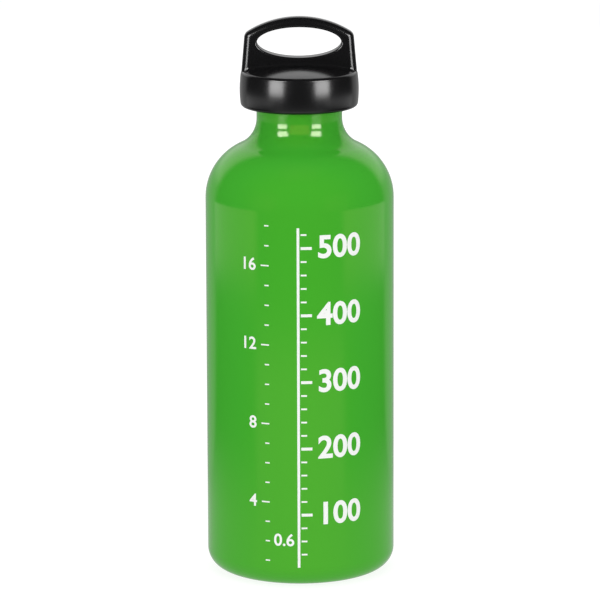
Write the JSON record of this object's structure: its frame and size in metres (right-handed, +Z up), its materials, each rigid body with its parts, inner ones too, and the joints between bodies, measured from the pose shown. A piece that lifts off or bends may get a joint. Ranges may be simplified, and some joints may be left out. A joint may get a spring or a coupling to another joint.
{
  "type": "camping fuel bottle",
  "caption": "Slim seamless metal fuel flask with rounded shoulders and a hollow foot, closed by a push-and-turn screw cap with a carrying loop.",
  "frame": {"origin": "centre of the foot, on the surface that the bottle stands on", "axes": "+Z up along the bottle's axis; the carrying loop lies in the X-Z plane and is seen face on along +Y"},
  "size_m": [0.072, 0.072, 0.2148],
  "materials": {
    "flask_coat": "satin",
    "seal": "matte",
    "plug": "matte",
    "spring": "satin",
    "cap": "satin"
  },
  "bodies": {
    "flask": {"flask": "flask_coat"},
    "seal_ring": {"seal_ring": "seal"},
    "screw_plug": {"screw_plug": "plug"},
    "press_spring": {"press_spring": "spring"},
    "cap_shell": {"cap_shell": "cap"}
  },
  "joints": [
    {"name": "cap_rise", "type": "slide", "parent": "flask", "child": "seal_ring", "axis": [0, 0, 1], "range_m": [0, 0.012]},
    {"name": "cap_turn", "type": "hinge", "parent": "seal_ring", "child": "screw_plug", "pos_m": [0, 0, 0.1846], "axis": [0, 0, 1], "range_deg": [0, 1440]},
    {"name": "shell_slip", "type": "hinge", "parent": "screw_plug", "child": "press_spring", "pos_m": [0, 0, 0.1892], "axis": [0, 0, 1], "continuous": true},
    {"name": "shell_press", "type": "slide", "parent": "press_spring", "child": "cap_shell", "axis": [0, 0, -1], "range_m": [0, 0.0017], "stiffness_N_per_m": 2500, "springref_m": -0.004, "deforming": ["press_spring"]}
  ],
  "couplings": [
    {"joint": "cap_rise", "follows": "cap_turn", "m_per_rad": 0.00047746}
  ]
}
